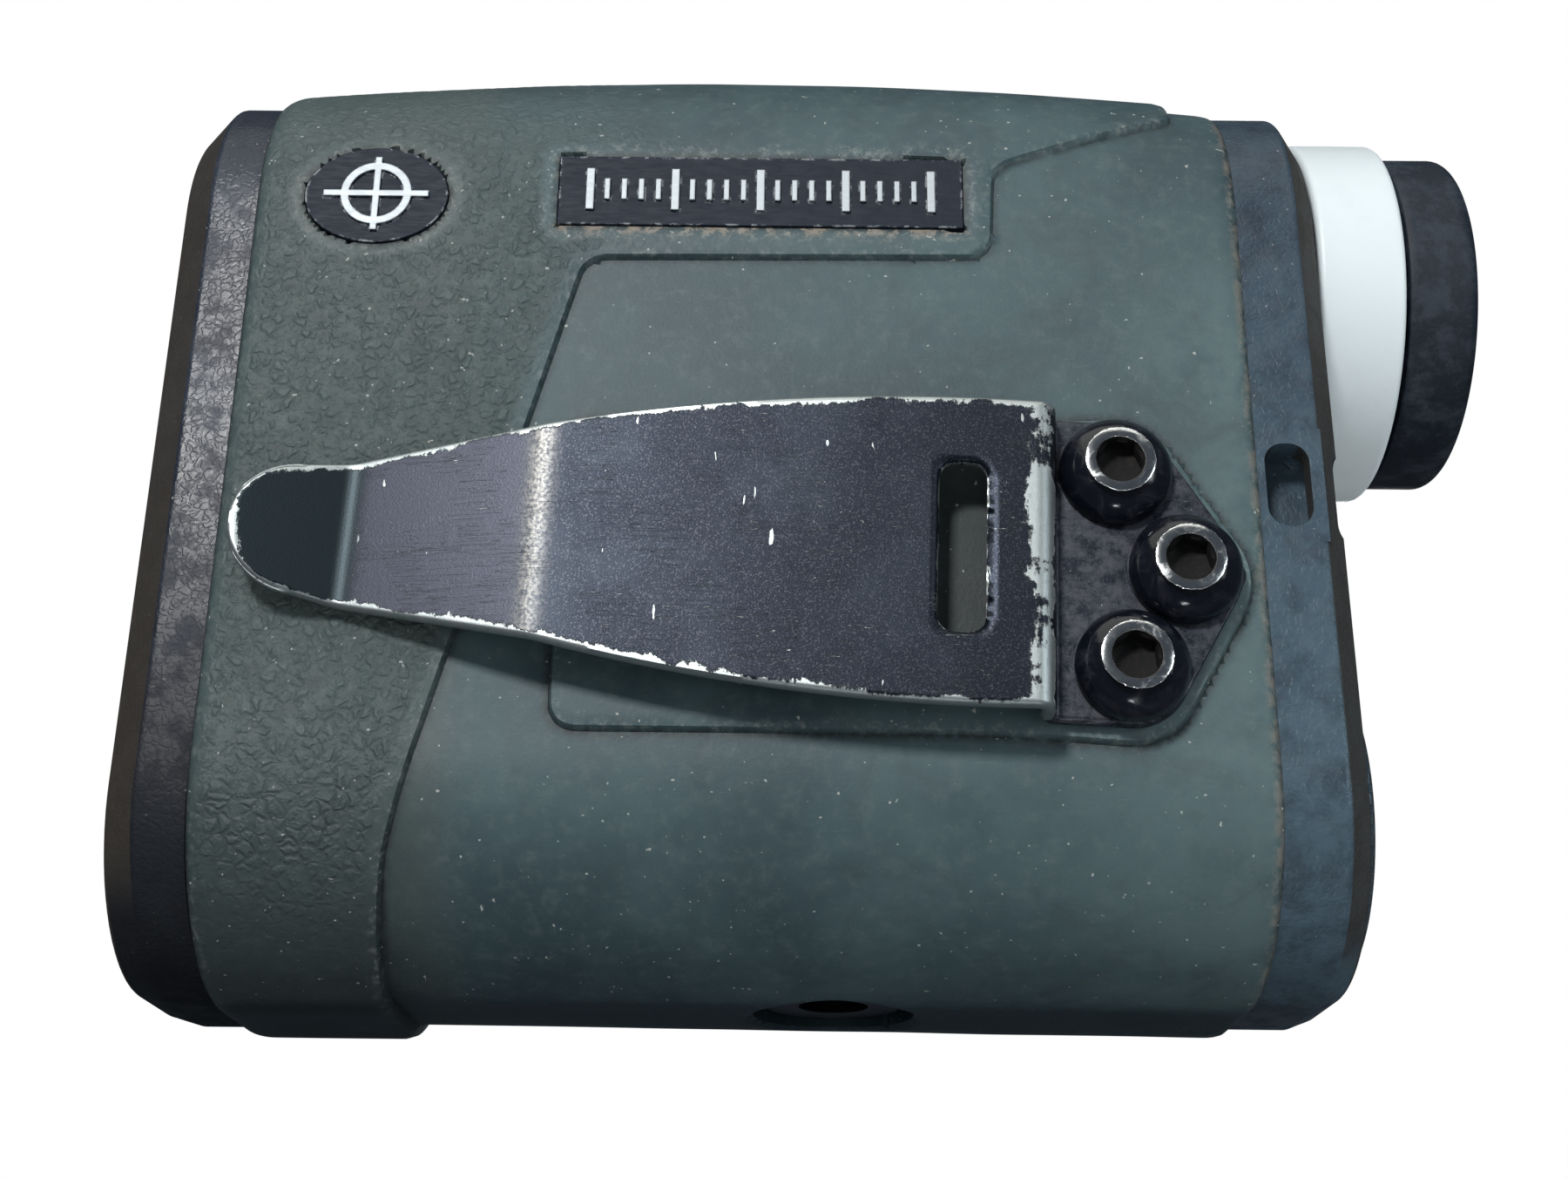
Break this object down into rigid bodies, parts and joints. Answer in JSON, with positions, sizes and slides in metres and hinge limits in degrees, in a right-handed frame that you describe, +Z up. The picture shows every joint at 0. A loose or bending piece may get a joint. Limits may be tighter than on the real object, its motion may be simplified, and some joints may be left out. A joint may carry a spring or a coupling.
{
  "type": "laser rangefinder",
  "caption": "Pocket laser rangefinder monocular with ribbed measure key, twist-up eyecup, diopter ring, battery cap, rubber armour and a screwed-on steel belt clip.",
  "frame": {"origin": "mouth of the tripod bush, in the middle of the underside", "axes": "+X along the optical axis towards the eye, +Z up to the buttons, so the belt clip on the user's left is at -Y"},
  "size_m": [0.1016, 0.0437, 0.0784],
  "materials": {
    "armour_rubber": "matte dark green rubber, pebble grain on the raised grip",
    "button_rubber": "matte black rubber",
    "black_rubber": "matte black rubber",
    "white_silicone": "soft satin white silicone",
    "bezel_plastic": "satin black, fine leather grain",
    "inner_plastic": "matte black moulding",
    "nylon": "natural nylon",
    "lens_glass": "coated optical glass",
    "prism_glass": "polished prism glass",
    "black_aluminium": "black anodised",
    "clip_coat": "charcoal coat worn to bare steel at the edges",
    "screw_black": "gloss black coat, worn round the sockets",
    "small_screws": "blackened steel",
    "badge_metal": "charcoal paint with bright raised marks",
    "brass": "machined",
    "circuit_board": "green solder mask",
    "flex_film": "amber polyimide",
    "contact_metal": "nickel plated",
    "cell_can": "printed sleeve over a steel can",
    "display_glass": "liquid-crystal panel in a frame"
  },
  "bodies": {
    "root": {"battery_tube": "inner_plastic", "belt_clip": "clip_coat", "button_board": "circuit_board", "button_flex": "flex_film", "button_seal": "black_rubber", "chassis_left": "inner_plastic", "chassis_right": "inner_plastic", "clip_inserts": "brass", "clip_screws": "screw_black", "detector": "contact_metal", "display_module": "display_glass", "dome_switches": "contact_metal", "emitter_lens": "lens_glass", "emitter_retainer": "black_aluminium", "emitter_tube": "inner_plastic", "eyepiece_housing": "black_aluminium", "field_lens": "lens_glass", "field_lens_ring": "black_aluminium", "front_bezel": "bezel_plastic", "front_bezel_screws": "small_screws", "front_gasket": "black_rubber", "half_penta_prism": "prism_glass", "laser_diode": "contact_metal", "laser_holder": "inner_plastic", "main_board": "circuit_board", "nameplate_left": "badge_metal", "nameplate_right": "badge_metal", "objective_lens": "lens_glass", "objective_retainer": "black_aluminium", "oval_badge_left": "badge_metal", "oval_badge_right": "badge_metal", "positive_contact": "contact_metal", "prism_holder": "inner_plastic", "rear_bezel": "bezel_plastic", "rear_bezel_screws": "small_screws", "rear_gasket": "black_rubber", "roof_prism": "prism_glass", "rubber_armour": "armour_rubber", "tripod_bush": "black_aluminium"},
    "measure_key": {"measure_button": "button_rubber"},
    "menu_key": {"menu_button": "button_rubber"},
    "diopter": {"diopter_ring": "bezel_plastic", "silicone_band": "white_silicone"},
    "eye_cell": {"eye_lens_cell": "black_aluminium", "eye_lens": "lens_glass"},
    "eyecup_carrier": {"eyecup_brake_ring": "nylon"},
    "eyecup": {"eyecup_sleeve": "bezel_plastic", "eyecup": "black_rubber"},
    "battery": {"battery": "cell_can"},
    "cap_spring": {"contact_spring": "contact_metal"},
    "battery_cap": {"battery_cap": "bezel_plastic", "battery_cap_seal": "black_rubber"}
  },
  "joints": [
    {"name": "measure_press", "type": "slide", "parent": "root", "child": "measure_key", "axis": [0, 0, -1], "range_m": [0, 0.0006], "stiffness_N_per_m": 1500, "springref_m": -0.0006},
    {"name": "menu_press", "type": "slide", "parent": "root", "child": "menu_key", "axis": [0, 0, -1], "range_m": [0, 0.0006], "stiffness_N_per_m": 1200, "springref_m": -0.0006},
    {"name": "diopter_turn", "type": "hinge", "parent": "root", "child": "diopter", "pos_m": [0.041, 0, 0.0582], "axis": [1, 0, 0], "range_deg": [-60, 60]},
    {"name": "eye_lens_focus", "type": "slide", "parent": "root", "child": "eye_cell", "axis": [1, 0, 0], "range_m": [-0.00125, 0.00125]},
    {"name": "eyecup_extend", "type": "slide", "parent": "root", "child": "eyecup_carrier", "axis": [1, 0, 0], "range_m": [0, 0.00502]},
    {"name": "eyecup_twist", "type": "hinge", "parent": "eyecup_carrier", "child": "eyecup", "pos_m": [0.045, 0, 0.0582], "axis": [1, 0, 0], "range_deg": [0, 120]},
    {"name": "battery_out", "type": "slide", "parent": "root", "child": "battery", "axis": [1, 0, 0], "range_m": [0, 0.046]},
    {"name": "battery_cap_travel", "type": "slide", "parent": "battery", "child": "cap_spring", "axis": [1, 0, 0], "range_m": [0, 0.00302]},
    {"name": "battery_cap_turn", "type": "hinge", "parent": "cap_spring", "child": "battery_cap", "pos_m": [0.035, 0, 0.014], "axis": [1, 0, 0], "range_deg": [0, 1080]}
  ],
  "couplings": [
    {"joint": "eye_lens_focus", "follows": "diopter_turn", "m_per_rad": 0.0011459},
    {"joint": "eyecup_extend", "follows": "eyecup_twist", "m_per_rad": 0.0023873},
    {"joint": "battery_cap_travel", "follows": "battery_cap_turn", "m_per_rad": 0.00015915}
  ]
}
